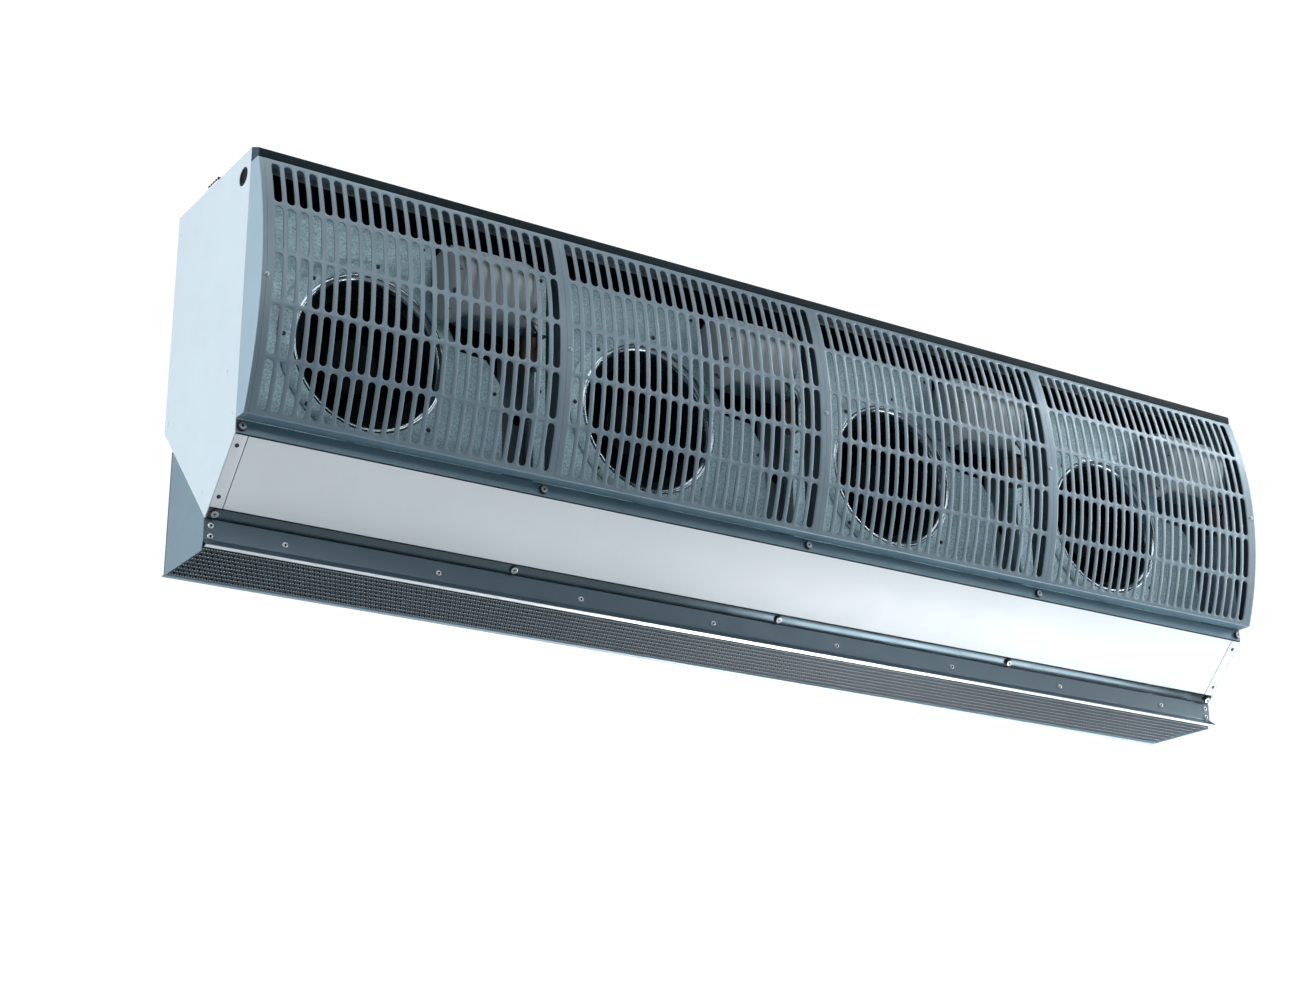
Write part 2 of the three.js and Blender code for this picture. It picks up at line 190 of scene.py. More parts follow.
def vent_mesh(name):
    """A light shell pierced with a close diamond mesh; the openings are painted near-black as the shade behind them."""
    m, nt, b = new_mat(name)
    at = coords(nt)
    w1 = node(nt, "ShaderNodeTexWave", Scale=115.0)
    w1.bands_direction = "DIAGONAL"
    w2 = node(nt, "ShaderNodeTexChecker", Scale=420.0)
    for w in (w1, w2):
        nt.links.new(at, w.inputs["Vector"])
    c = mix(nt, remap(nt, w1.outputs["Fac"], 0.35, 0.5, 0.0, 1.0), (0.02, 0.025, 0.03), (0.5, 0.56, 0.58))
    c = mix(nt, remap(nt, w2.outputs["Fac"], 0.4, 0.6, 0.0, 0.6), c, (0.03, 0.035, 0.04))
    nt.links.new(c, b.inputs["Base Color"])
    b.inputs["Roughness"].default_value = 0.5
    return m


SIDE = paint("side_paint", (0.545, 0.650, 0.722), 0.5, var=0.02)
CASE = paint("case_paint", (0.50, 0.58, 0.64), 0.5, var=0.04)
GRILLE = paint("grille_paint", (0.168, 0.241, 0.291), 0.42, 0.25, var=0.05)
CAP = paint("cap_paint", (0.34, 0.465, 0.555), 0.45, 0.1, var=0.04)
# the cap paint darkened for its inward faces: painted shade
CAP_IN_SHADE = paint("cap_inside_painted_shade", (0.045, 0.065, 0.078), 0.6, 0.1, var=0.1)
RAIL = paint("rail_paint", (0.010, 0.022, 0.030), 0.75, var=0.2, dust=0.04, spec=0.15)
RAIL_END = paint("rail_end_paint", (0.035, 0.065, 0.09), 0.5, var=0.12)
LOWER = paint("lower_paint", (0.115, 0.200, 0.255), 0.36, 0.3, var=0.08)
LEDGE = paint("ledge_paint", (0.075, 0.105, 0.125), 0.22, 0.9, var=0.08)
PANEL = paint("panel_paint", (0.735, 0.80, 0.845), 0.4, 0.0, var=0.03)
NOZZLE = paint("nozzle_paint", (0.068, 0.115, 0.150), 0.34, 0.35, var=0.05)
NOZZLE_SIDE = paint("nozzle_side_paint", (0.215, 0.303, 0.370), 0.45, 0.1, var=0.04)
NOZZLE_IN = paint("nozzle_in_paint", (0.10, 0.14, 0.17), 0.5, 0.0, var=0.05)
LIP = metal("lip_edge", (0.66, 0.72, 0.76), 0.3, (0.1, 1.0, 1.0), 0.3)
GALV = spangle("galv_sheet", (0.235, 0.375, 0.440), (0.54, 0.76, 0.86), scale=560.0)
# galvanised sheet darkened for the parts deep in the casing: painted shade
GALV_SHADED = spangle("galv_painted_shade", (0.030, 0.048, 0.058), (0.10, 0.14, 0.16))
# dark teal: painted shade for the shadowed recess behind the fan plates
RECESS_SHADE = paint("recess_sheet_painted_shade", (0.085, 0.135, 0.16), 0.5, 0.3, var=0.1)
RIB = paint("rib_paint", (0.075, 0.115, 0.14), 0.45, 0.2, var=0.08)
BAR = paint("bar_paint", (0.42, 0.47, 0.50), 0.45, 0.3, var=0.05)
RING = metal("ring_steel", (0.36, 0.45, 0.49), 0.14, (1.0, 1.0, 1.0), 0.97)
# motor and wheel: dark plastic darkened to near-black as painted shade inside the inlets
MOTOR_SHADED = dull("motor_shell_painted_shade", (0.005, 0.007, 0.008), 0.6, 400.0, 0.0002, 0.2, spec=0.15)
ZINC = metal("zinc_screw", (0.34, 0.39, 0.42), 0.34, metallic=0.8)
# dark screw heads, and painted shade in cross recesses and on bolt flanks
DARK_SCREW_AND_SHADE = metal("dark_screw_and_recess_shade", (0.035, 0.045, 0.055), 0.4, metallic=0.6)
# black lining inside the skins, and painted shade in bolt recesses, rivet holes and the grommet hole
LINING_AND_HOLE_SHADE = dull("black_lining_and_hole_shade", (0.004, 0.006, 0.008), 0.95, 260.0)
WHEEL_SHADED = dull("wheel_plastic_painted_shade", (0.003, 0.004, 0.005), 0.65, 500.0, 0.0002, 0.2, spec=0.15)
CAN = paint("can_paint", (0.40, 0.47, 0.505), 0.6, 0.0, var=0.03, dust=0.06)
VENT = vent_mesh("can_vent")
BROWN = dull("capacitor_plastic", (0.085, 0.048, 0.025), 0.45, 700.0, 0.0001, 0.15)
RUBBER = dull("rubber", (0.006, 0.007, 0.008), 0.75, 500.0, 0.0002, 0.25)
GRID = metal("grid_foil", (0.19, 0.245, 0.295), 0.42, (0.2, 1.0, 1.0), 0.15)
# near-black: painted shade for the row strips and foil edges deep in the straightener cells
GRID_ROW_SHADE = metal("grid_strip_painted_shade", (0.020, 0.032, 0.040), 0.5, (0.2, 1.0, 1.0), 0.4)
# near-white: a painted highlight for the glinting fold joints of the flow straightener
GRID_GLINT = metal("grid_painted_glint", (0.90, 0.95, 0.98), 0.3, (1.0, 1.0, 1.0), 0.1)
WIRE_A = dull("wire_black", (0.010, 0.010, 0.011), 0.5, 900.0, 0.0001, 0.1)
WIRE_B = dull("wire_pale", (0.42, 0.45, 0.46), 0.5, 900.0, 0.0001, 0.1)
FOOT = paint("foot_paint", (0.75, 0.80, 0.84), 0.5, var=0.03)


# ------------------------------------------------------------------ mesh building, in local millimetres
class Build:
    def __init__(self):
        self.v, self.f, self.m, self.mats = [], [], [], []

    def mi(self, mat):
        if mat not in self.mats:
            self.mats.append(mat)
        return self.mats.index(mat)

    def add(self, verts, faces, mat):
        base, k = len(self.v), self.mi(mat)
        self.v += [tuple(p) for p in verts]
        self.f += [[i + base for i in f] for f in faces]
        self.m += [k] * len(faces)
        return self

    def piece(self, name, replaces=(), body=CASING, angle=35.0, merge=0.0):
        me = bpy.data.meshes.new(name)
        bm = bmesh.new()
        vs = [bm.verts.new(to_frame(p)) for p in self.v]
        for f, k in zip(self.f, self.m):
            try:
                face = bm.faces.new([vs[i] for i in f])
            except ValueError:
                continue
            face.material_index = k
        if merge:
            bmesh.ops.remove_doubles(bm, verts=bm.verts, dist=merge * MM)
        bmesh.ops.recalc_face_normals(bm, faces=bm.faces)
        for face in bm.faces:
            face.smooth = True
        bm.to_mesh(me)
        bm.free()
        me.set_sharp_from_angle(angle=math.radians(angle))
        for mat in self.mats:
            me.materials.append(mat)
        ob = bpy.data.objects.new(name, me)
        bpy.context.scene.collection.objects.link(ob)
        if replaces:
            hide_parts(*replaces)
        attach(ob, body)
        return ob


def prism(b, axis, pts, a0, a1, mat, bevel=0.0, segs=2):
    """A polygon drawn in the two axes after `axis` (X: y,z; Y: x,z; Z: x,y), extruded between a0 and a1."""
    def at(p, a):
        return {"X": (a, p[0], p[1]), "Y": (p[0], a, p[1]), "Z": (p[0], p[1], a)}[axis]
    n = len(pts)
    verts = [at(p, a0) for p in pts] + [at(p, a1) for p in pts]
    faces = [[i, (i + 1) % n, n + (i + 1) % n, n + i] for i in range(n)]
    faces += [list(range(n - 1, -1, -1)), list(range(n, 2 * n))]
    if bevel:
        verts, faces = bevelled(verts, faces, bevel, segs)
    return b.add(verts, faces, mat)


def bevelled(verts, faces, width, segs=2, angle=25.0):
    bm = bmesh.new()
    vs = [bm.verts.new(p) for p in verts]
    for f in faces:
        bm.faces.new([vs[i] for i in f])
    bmesh.ops.recalc_face_normals(bm, faces=bm.faces)
    edges = [e for e in bm.edges if len(e.link_faces) == 2 and e.calc_face_angle(0.0) > math.radians(angle)]
    bmesh.ops.bevel(bm, geom=edges, offset=width, segments=segs, affect="EDGES", profile=0.5, clamp_overlap=True)
    bm.verts.index_update()
    out = ([tuple(v.co) for v in bm.verts], [[v.index for v in f.verts] for f in bm.faces])
    bm.free()
    return out


def cuboid(b, x0, x1, y0, y1, z0, z1, mat, bevel=0.0, segs=2):
    return prism(b, "Z", [(x0, y0), (x1, y0), (x1, y1), (x0, y1)], z0, z1, mat, bevel, segs)


def lathe(b, profile, segs, origin, axis, mat, closed=True, start=0.0):
    """Turns (radius, height) about `axis` through origin. Ends on the axis become poles."""
    ax = Vector(axis).normalized()
    side = ax.orthogonal().normalized()
    other = ax.cross(side)
    verts, rings = [], []
    for r, h in profile:
        if r < 1e-6:
            rings.append([len(verts)])
            verts.append(Vector(origin) + ax * h)
            continue
        ring = []
        for i in range(segs):
            t = start + 2 * math.pi * i / segs
            ring.append(len(verts))
            verts.append(Vector(origin) + ax * h + side * (r * math.cos(t)) + other * (r * math.sin(t)))
        rings.append(ring)
    faces = []
    pairs = list(zip(rings, rings[1:])) + ([(rings[-1], rings[0])] if closed and len(rings[0]) > 1 else [])
    for p, q in pairs:
        for i in range(segs):
            j = (i + 1) % segs
            if len(p) == 1 and len(q) == 1:
                continue
            if len(p) == 1:
                faces.append([p[0], q[i], q[j]])
            elif len(q) == 1:
                faces.append([p[i], q[0], p[j]])
            else:
                faces.append([p[i], q[i], q[j], p[j]])
    return b.add([tuple(v) for v in verts], faces, mat)


def ribbon(path, t):
    """Outline of an open path thickened to its left by t, with mitred corners."""
    def d(i):
        v = Vector((path[i + 1][0] - path[i][0], path[i + 1][1] - path[i][1]))
        return v.normalized()
    off = []
    for i in range(len(path)):
        a, c = d(max(0, i - 1)), d(min(len(path) - 2, i))
        na, nc = Vector((-a.y, a.x)), Vector((-c.y, c.x))
        off.append(tuple(Vector(path[i]) + (na + nc) * (t / (1 + na.dot(nc)))))
    return list(path), off


def sheet(b, axis, path, t, a0, a1, mat, back=None, steps=1):
    """A bent sheet: the path, thickened to its left by t, extruded along axis; `back` is the material of the thickened side."""
    front, rear = ribbon(path, t)

    def at(p, a):
        return {"X": (a, p[0], p[1]), "Y": (p[0], a, p[1]), "Z": (p[0], p[1], a)}[axis]
    n = len(front)
    verts = []
    for s in range(steps + 1):
        a = a0 + (a1 - a0) * s / steps
        verts += [at(p, a) for p in front] + [at(p, a) for p in rear]
    w = 2 * n
    outer, inner = [], []
    for s in range(steps):
        o, q = s * w, (s + 1) * w
        for i in range(n - 1):
            outer.append([o + i, o + i + 1, q + i + 1, q + i])
            inner.append([o + n + i, q + n + i, q + n + i + 1, o + n + i + 1])
        outer.append([o, q, q + n, o + n])
        outer.append([o + n - 1, o + 2 * n - 1, q + 2 * n - 1, q + n - 1])
    e = steps * w
    for i in range(n - 1):
        outer.append([i, n + i, n + i + 1, i + 1])
        outer.append([e + i, e + i + 1, e + n + i + 1, e + n + i])
    base, ko, ki = len(b.v), b.mi(mat), b.mi(back or mat)
    b.v += verts
    b.f += [[i + base for i in f] for f in outer + inner]
    b.m += [ko] * len(outer) + [ki] * len(inner)
    return b


def turn(points, centre, start, end, n, r):
    """Appends an arc to points, angles in degrees."""
    for i in range(n + 1):
        t = math.radians(start + (end - start) * i / n)
        points.append((centre[0] + r * math.cos(t), centre[1] + r * math.sin(t)))
    return points


def screw(b, at, normal, r=4.0, h=1.8, mat=None, recess=True, segs=20):
    """A pan head with a cross recess, seated on its surface; the cross recess is painted dark as shade."""
    mat = mat or ZINC
    ax = Vector(normal).normalized()
    prof = [(0.0, -1.0), (r, -1.0), (r, h * 0.35)]
    for i in range(1, 5):
        t = i / 4 * math.pi / 2
        prof.append((r - r * 0.42 * (1 - math.cos(t)), h * 0.35 + h * 0.55 * math.sin(t)))
    prof.append((0.0, h))
    lathe(b, prof, segs, at, ax, mat, closed=False)
    if recess:
        side = ax.orthogonal().normalized()
        other = ax.cross(side)
        for u, v in ((side, other), (other, side)):
            c = Vector(at) + ax * (h * 0.8)
            w, l, d = r * 0.10, r * 0.45, h * 0.26
            verts = [tuple(c + u * (sx * l) + v * (sy * w) + ax * (sz * d)) for sz in (-1, 1) for sx, sy in ((-1, -1), (1, -1), (1, 1), (-1, 1))]
            b.add(verts, [[0, 3, 2, 1], [4, 5, 6, 7], [0, 1, 5, 4], [1, 2, 6, 5], [2, 3, 7, 6], [3, 0, 4, 7]], DARK_SCREW_AND_SHADE)
    return b


def bolt(b, at, normal, r=7.0, h=5.0):
    """A cylinder-head bolt: dark flank on a thin washer, partly dark bolt and partly painted shadow, bright rim, dished
    recess painted black as shade.
    """
    lathe(b, [(0.0, -1.0), (r + 0.25, -1.0), (r + 0.25, 0.7), (r - 0.9, 0.9)], 32, at, normal, DARK_SCREW_AND_SHADE, closed=False)
    lathe(b, [(r - 0.9, 0.6), (r - 0.9, h - 0.8), (r - 1.5, h - 0.2)], 32, at, normal, DARK_SCREW_AND_SHADE, closed=False)
    lathe(b, [(r - 1.5, h - 0.2), (r - 2.1, h), (r - 3.2, h), (r - 3.5, h - 0.9)], 32, at, normal, ZINC, closed=False)
    lathe(b, [(r - 3.5, h - 0.9), (1.7, h - 0.9)], 32, at, normal, ZINC, closed=False)
    lathe(b, [(1.7, h - 0.9), (1.6, h - 2.2), (0.0, h - 2.4)], 24, at, normal, LINING_AND_HOLE_SHADE, closed=False)


def rivet(b, at, normal, r=4.4, h=1.9):
    """A blind rivet: domed collar round a mandrel hole painted black as shade."""
    prof = [(r, -0.8), (r, 0.25)]
    for i in range(1, 6):
        t = i / 5 * math.pi / 2
        prof.append((r - (r - 2.0) * (1 - math.cos(t)), 0.25 + (h - 0.25) * math.sin(t)))
    lathe(b, prof, 24, at, normal, LIP, closed=False)
    lathe(b, [(2.0, h), (1.7, h - 0.3), (1.6, h - 1.6), (0.0, h - 1.7)], 24, at, normal, LINING_AND_HOLE_SHADE, closed=False)


def tube(b, pts, r, mat, segs=10, sub=6):
    """A round wire along a smooth curve through pts."""
    P = [Vector(p) for p in pts]
    line = []
    for i in range(len(P) - 1):
        p0, p1, p2, p3 = P[max(0, i - 1)], P[i], P[i + 1], P[min(len(P) - 1, i + 2)]
        for s in range(sub):
            t = s / sub
            line.append(0.5 * ((2 * p1) + (p2 - p0) * t + (2 * p0 - 5 * p1 + 4 * p2 - p3) * t * t + (3 * p1 - p0 - 3 * p2 + p3) * t ** 3))
    line.append(P[-1])
    verts, rings = [], []
    up = None
    for i, c in enumerate(line):
        d = (line[min(i + 1, len(line) - 1)] - line[max(i - 1, 0)]).normalized()
        up = d.orthogonal().normalized() if up is None else (up - d * up.dot(d)).normalized()
        w = d.cross(up)
        rings.append(range(len(verts), len(verts) + segs))
        verts += [tuple(c + up * (r * math.cos(2 * math.pi * k / segs)) + w * (r * math.sin(2 * math.pi * k / segs))) for k in range(segs)]
    faces = [[p[k], p[(k + 1) % segs], q[(k + 1) % segs], q[k]] for p, q in zip(rings, rings[1:]) for k in range(segs)]
    faces += [list(rings[0])[::-1], list(rings[-1])]
    return b.add(verts, faces, mat)


# ------------------------------------------------------------------ sizes shared with the frame
L = 2000.0
SH = 1.5
ARC_Y, ARC_Z, ARC_R, HALF = 235.2, 368.9, 571.4, 205.0
PITCH = 495.75
FAN_X, FAN_Z, PLATE_Y, DECK_Z = 216.6, 327.0, -245.0, 152.0
BEV0, BEV1 = Vector((-275.0, 146.6)), Vector((-182.4, 47.0))
BEV_D = (BEV1 - BEV0).normalized()
BEV_OUT = Vector((BEV_D.y, -BEV_D.x))       # out of the casing: forwards and down


def bevel_at(s, d=0.0):
    p = BEV0 + BEV_D * s - BEV_OUT * d
    return (p.x, p.y)


# ------------------------------------------------------------------ bowed grille
BEND_R = 2.0
_t_end = HALF / ARC_R
_turn = math.pi / 2 - _t_end
_cut = BEND_R * math.tan(_turn / 2)
S_BEND = HALF - _cut
BEND_L = BEND_R * _turn


def bow(p):
    """Section of the bowed skin at path length p from mid height: (y, z) and the outward normal."""
    sign = 1.0 if p >= 0 else -1.0
    s = abs(p)
    if s <= S_BEND:
        t = s / ARC_R
        return (ARC_Y - ARC_R * math.cos(t), ARC_Z + sign * ARC_R * math.sin(t)), (-math.cos(t), sign * math.sin(t))
    t = S_BEND / ARC_R
    y0, z0 = ARC_Y - ARC_R * math.cos(t), ARC_R * math.sin(t)
    n0 = (-math.cos(t), math.sin(t))
    cy, cz = y0 - n0[0] * BEND_R, z0 - n0[1] * BEND_R
    a0 = math.atan2(n0[1], n0[0])
    swing = a0 - math.pi / 2
    length = BEND_R * swing
    if s - S_BEND <= length:
        a = a0 - (s - S_BEND) / BEND_R
        n = (math.cos(a), math.sin(a))
        return (cy + n[0] * BEND_R, ARC_Z + sign * (cz + n[1] * BEND_R)), (n[0], sign * n[1])
    run = s - S_BEND - length
    return (cy + run, ARC_Z + sign * (cz + BEND_R)), (0.0, sign)


def bow_total():
    t = S_BEND / ARC_R
    y0 = ARC_Y - ARC_R * math.cos(t)
    n0 = (-math.cos(t), math.sin(t))
    cy = y0 - n0[0] * BEND_R
    a0 = math.atan2(n0[1], n0[0])
    return S_BEND + BEND_R * (a0 - math.pi / 2) + (-275.3 - cy)


BOW_END = bow_total()
BENDS = [S_BEND + BEND_R * (math.atan2(math.sin(S_BEND / ARC_R), -math.cos(S_BEND / ARC_R)) - math.pi / 2) * k / 4 for k in range(5)]


def slot_ring(grow, cx, cs, w=12.8, l=73.6, side=6, cap=8):
    """A round-ended slot's outline in (x, path length), counted so that it matches its cell's border."""
    r = w / 2 + grow
    h = l / 2 - w / 2
    pts = []
    for i in range(side):                       # right side, upwards
        pts.append((cx + r, cs - h + 2 * h * i / side))
    for i in range(cap):                        # top
        t = math.pi * i / cap
        pts.append((cx + r * math.cos(t), cs + h + r * math.sin(t)))
    for i in range(side):                       # left side, downwards
        pts.append((cx - r, cs + h - 2 * h * i / side))
    for i in range(cap):
        t = math.pi + math.pi * i / cap
        pts.append((cx + r * math.cos(t), cs - h + r * math.sin(t)))
    return pts


def cell_ring(cx, cs, px=20.0, ps=80.0, l=73.6, w=12.8, side=6, cap=8):
    h = l / 2 - w / 2
    pts = []
    for i in range(side):
        pts.append((cx + px / 2, cs - h + 2 * h * i / side))
    q = cap // 4
    lat = [cs + h, cs + h + (ps / 2 - h) * 0.5, cs + ps / 2]
    xs = [cx + px / 2 - px * k / (2 * q) for k in range(2 * q + 1)]
    pts += [(cx + px / 2, lat[0]), (cx + px / 2, lat[1]), (cx + px / 2, lat[2])]
    pts += [(x, lat[2]) for x in xs[1:-1]]
    pts += [(cx - px / 2, lat[2]), (cx - px / 2, lat[1])]
    for i in range(side):
        pts.append((cx - px / 2, cs + h - 2 * h * i / side))
    lat = [cs - h, cs - h - (ps / 2 - h) * 0.5, cs - ps / 2]
    pts += [(cx - px / 2, lat[0]), (cx - px / 2, lat[1]), (cx - px / 2, lat[2])]
    pts += [(x, lat[2]) for x in xs[::-1][1:-1]]
    pts += [(cx + px / 2, lat[2]), (cx + px / 2, lat[1])]
    return pts


def skin_point(x, s, depth):
    (y, z), (ny, nz) = bow(s)
    return (x, y - ny * depth, z - nz * depth)


CELL = cell_ring(0.0, 0.0)
RINGN = len(CELL)


def matched(cell, grow, cx, cs):
    """The slot's outline with one point for each border point, by matching the direction on the caps."""
    w, l = 12.8, 73.6
    r, h = w / 2 + grow, l / 2 - w / 2
    pts = []
    for x, s in cell:
        dx, ds = x - cx, s - cs
        if abs(ds) <= h + 1e-9:
            pts.append((cx + math.copysign(r, dx), s))
            continue
        sg = math.copysign(1.0, ds)
        a = math.atan2((abs(ds) - h), dx) if abs(dx) > 1e-9 else math.pi / 2
        pts.append((cx + r * math.cos(a), cs + sg * (h + r * math.sin(a))))
    return pts


def grille_panel(k):
    b = Build()
    x0, x1 = 8.0 + 496.0 * k + 0.15, 8.0 + 496.0 * (k + 1) - 0.15
    first = (x0 + x1) / 2 - 20.0 * 23 / 2
    # dark is the lower-rail paint, used as painted shade on the grille's bottom return
    mat, dark = b.mi(GRILLE), b.mi(LOWER)
    verts, faces, mi = b.v, b.f, b.m
    T = SH

    def quad_ring(ra, rb, flip=False):
        n = len(ra)
        for i in range(n):
            j = (i + 1) % n
            f = [ra[i], ra[j], rb[j], rb[i]]
            faces.append(f[::-1] if flip else f)
            mi.append(mat)

    def put(points, depth):
        base = len(verts)
        verts.extend(skin_point(x, s, depth) for x, s in points)
        return list(range(base, base + len(points)))

    for s0 in (160.0, 80.0, 0.0, -80.0, -160.0):
        for i in range(24):
            cx = first + 20.0 * i
            border = cell_ring(cx, s0)
            loops = [put(border, 0.0), put(matched(border, 0.32, cx, s0), 0.0), put(matched(border, 0.08, cx, s0), 0.12),
                     put(matched(border, 0.0, cx, s0), 0.35), put(matched(border, 0.0, cx, s0), T), put(border, T)]
            for a, c in zip(loops, loops[1:]):
                quad_ring(a, c)
    xs_cells = [first - 10.0 + 5.0 * i for i in range(24 * 4 + 1)]
    cell_s = sorted({round(s + p[1], 6) for s in (160.0, 80.0, 0.0, -80.0, -160.0) for p in CELL if abs(abs(p[0]) - 10.0) < 1e-6})

    def patch(xs, ss, material=None):
        km = mat if material is None else material
        for depth in (0.0, T):
            base = len(verts)
            verts.extend(skin_point(x, s, depth) for s in ss for x in xs)
            n = len(xs)
            for r in range(len(ss) - 1):
                for c in range(n - 1):
                    q = [base + r * n + c, base + r * n + c + 1, base + (r + 1) * n + c + 1, base + (r + 1) * n + c]
                    faces.append(q)
                    mi.append(km)

    patch([x0, first - 10.0], cell_s)
    patch([first - 10.0 + 480.0, x1], cell_s)
    xs_all = [x0] + xs_cells + [x1]
    top = [200.0] + BENDS + [BOW_END]
    patch(xs_all, top)
    patch(xs_all, [-s for s in top[::-1]], None)
    # cut edges
    def edge(points, km):
        base = len(verts)
        for x, s in points:
            verts.append(skin_point(x, s, 0.0))
            verts.append(skin_point(x, s, T))
        for i in range(len(points) - 1):
            a = base + 2 * i
            faces.append([a, a + 2, a + 3, a + 1])
            mi.append(km)
    whole = [-s for s in top[::-1]][:-1] + cell_s + top[1:]
    edge([(x0, s) for s in whole], mat)
    edge([(x1, s) for s in whole], mat)
    edge([(x, BOW_END) for x in xs_all], mat)
    edge([(x, -BOW_END) for x in xs_all], mat)
    # painted shade: the bottom return faces down into the corner over the rail and takes the darker lower-rail paint
    for i, f in enumerate(faces):
        if all(verts[j][2] < 169.9 for j in f) and sum(verts[j][1] for j in f) / len(f) > -298.0:
            mi[i] = dark
    return b.piece(f"grille_panel_{k + 1}", (f"grille_{k + 1}",), angle=40.0, merge=0.02)


for k in range(4):
    grille_panel(k)

# seam screws
b = Build()
for x in (8.5, 509.0, 1000.0, 1491.0, 1991.5):
    screw(b, (x, ARC_Y - ARC_R - 0.0, 368.0), (0, -1, 0), 3.6, 1.6)
b.piece("grille_screws")

# ------------------------------------------------------------------ end caps
def end_cap(side):
    b = Build()
    left = side == "left"
    ss = [-BOW_END] + [-s for s in BENDS[::-1]] + [-S_BEND + 2 * S_BEND * i / 40 for i in range(1, 40)] + BENDS + [BOW_END]
    path = [bow(s)[0] for s in ss][::-1]
    x0, x1 = (1.5, 7.85) if left else (L - 7.85, L - 1.5)
    sheet(b, "X", path, SH, x0, x1, GRILLE, CAP_IN_SHADE)
    a0, a1 = (0.0, 1.5) if left else (L - 1.5, L)
    prism(b, "X", path, a0, a1, CAP, 0.25, 1)
    # inward faces take the darkened cap paint, painted shade
    inner = a1 if left else a0
    for i, f in enumerate(b.f):
        if len(f) > 6 and all(abs(b.v[j][0] - inner) < 0.3 for j in f):
            b.m[i] = b.mi(CAP_IN_SHADE)
    return b.piece(f"cap_{side}", (f"end_cap_{side}",))


end_cap("left")
end_cap("right")

# ------------------------------------------------------------------ side panels: CAD nodes kept, screws added
for n in ("side_panel_left", "side_panel_right"):
    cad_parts[n].data.materials.clear()
    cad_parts[n].data.materials.append(SIDE)
b = Build()
for x, nx in ((0.0, -1), (L, 1)):
    for y, z in ((-232.0, 254.0), (-12.3, 245.6), (-166.6, 90.4), (-12.3, 560.0), (-262.0, 180.0)):
        screw(b, (x, y, z), (nx, 0, 0), 2.6, 0.9, SIDE, recess=False, segs=16)
b.piece("side_rivets")

# ------------------------------------------------------------------ top panel, back panel, rails
b = Build()
path = [(-1.8, 594.0)]
turn(path, (-273.6, 592.6), 90, 180, 4, 1.4)
path.append((-275.0, 572.0))
sheet(b, "X", path, SH, 1.8, L - 1.8, CASE, LINING_AND_HOLE_SHADE)
b.piece("top_skin", ("top_panel",))
b = Build()
path = [(-37.9, 194.75)]
turn(path, (-2.2, 234.4), -44.35, 0, 5, 2.2)
path.append((0.0, 594.0))
sheet(b, "X", path, SH, 1.8, L - 1.8, CASE, LINING_AND_HOLE_SHADE)
b.piece("back_skin", ("back_panel",))

b = Build()
rail = [(-275.4, 593.97), (-299.2, 583.4)]
turn(rail, (-298.4, 581.4), 115, 180, 4, 1.6)
rail += [(-300.0, 569.9), (-275.4, 569.9)]
prism(b, "X", rail, 1.6, L - 3.6, RAIL, 0.3, 2)
prism(b, "X", rail, 0.0, 1.5, RAIL_END, 0.3, 2)
prism(b, "X", rail, L - 3.5, L - 2.0, RAIL_END, 0.3, 2)
b.piece("rail_top", ("top_rail",))

b = Build()
path = [(-262.0, 167.7)]
turn(path, (-273.4, 166.1), 90, 180, 4, 1.6)
path.append((-275.0, 147.0))
sheet(b, "X", path, SH, 1.8, L - 1.8, LOWER)
b.piece("rail_lower", ("lower_rail",))


def strip(b, s0, s1, x0, x1, mat, bev=0.45):
    prism(b, "X", [bevel_at(s0), bevel_at(s1), bevel_at(s1, SH), bevel_at(s0, SH)], x0, x1, mat, bev, 2)


b = Build()
strip(b, 2.3, 117.8, 21.9, L - 21.9, PANEL, 0.6)
b.piece("panel_access", ("access_panel",))
for side, x0, x1, hx in (("left", 1.8, 20.7, 9.5), ("right", L - 20.7, L - 1.8, L - 9.5)):
    b = Build()
    strip(b, 2.3, 117.8, x0, x1, PANEL, 0.4)
    for s in (19.0, 100.5):
        y, z = bevel_at(s)
        screw(b, (hx, y, z), (0, BEV_OUT.x, BEV_OUT.y), 3.2, 1.0, DARK_SCREW_AND_SHADE, recess=False)
    b.piece(f"strip_{side}", (f"end_strip_{side}",))
b = Build()
strip(b, 119.3, 135.5, 1.8, L - 1.8, LEDGE, 0.4)
b.piece("strip_ledge", ("ledge_strip",))

# fixing screws, each row on its nut strip
b = Build()
cuboid(b, 4.0, L - 4.0, -273.2, -269.2, 153.4, 160.6, GALV_SHADED, 0.3)
for x in (9.65, 500.0, 1000.0, 1500.0, 1990.35):
    bolt(b, (x, -275.0, 156.8), (0, -1, 0), 7.0, 4.7)
b.piece("screws_rail", ("rail_bolts",))
b = Build()
prism(b, "X", [bevel_at(121.7, 1.8), bevel_at(131.2, 1.8), bevel_at(131.2, 5.8), bevel_at(121.7, 5.8)], 4.0, L - 4.0, GALV_SHADED, 0.3)
for x in (11.15, 500.0, 1000.0, 1500.0, 1988.85):
    y, z = bevel_at(126.7)
    bolt(b, (x, y, z), (0, BEV_OUT.x, BEV_OUT.y), 7.0, 4.7)
b.piece("screws_ledge", ("ledge_bolts",))

